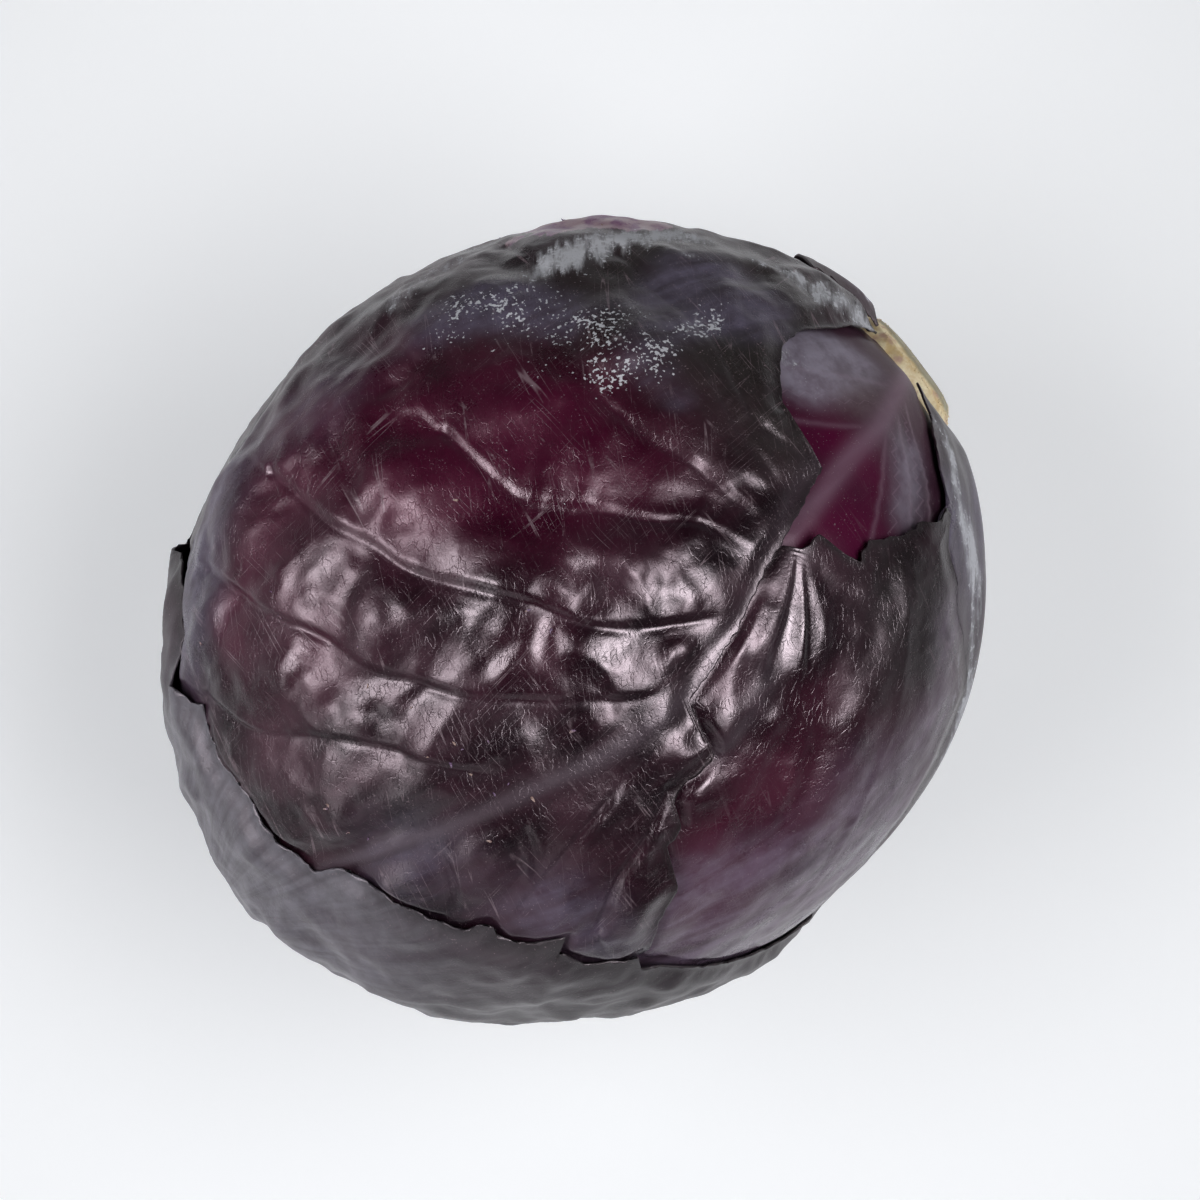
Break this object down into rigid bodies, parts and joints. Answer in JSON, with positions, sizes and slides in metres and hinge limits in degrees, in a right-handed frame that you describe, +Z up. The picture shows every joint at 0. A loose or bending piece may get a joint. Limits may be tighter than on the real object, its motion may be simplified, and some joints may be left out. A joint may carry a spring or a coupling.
{
  "type": "red cabbage head",
  "caption": "Red cabbage head lying on its side: dense head, cut stalk, torn and overlapping waxy outer leaves.",
  "frame": {"origin": "bottom centre of the whole cabbage, on the surface it lies on", "axes": "+X runs along the growth axis to the cut stalk, the crown is at -X, +Z is up"},
  "size_m": [0.1736, 0.1516, 0.1449],
  "materials": {
    "inner_leaf": "glossy magenta cabbage leaf with a thin wax bloom",
    "outer_leaf": "satin aubergine cabbage leaf with smeared wax bloom",
    "old_leaf": "dull grey-green outer cabbage leaf",
    "cut_stalk": "dried, fibrous cut stalk"
  },
  "bodies": {
    "root": {"dense_head": "inner_leaf", "stalk": "cut_stalk", "leaf_side": "outer_leaf", "leaf_back": "outer_leaf", "leaf_torn": "outer_leaf", "leaf_front": "outer_leaf", "leaf_wrapper": "old_leaf", "leaf_stub": "old_leaf"}
  },
  "joints": []
}
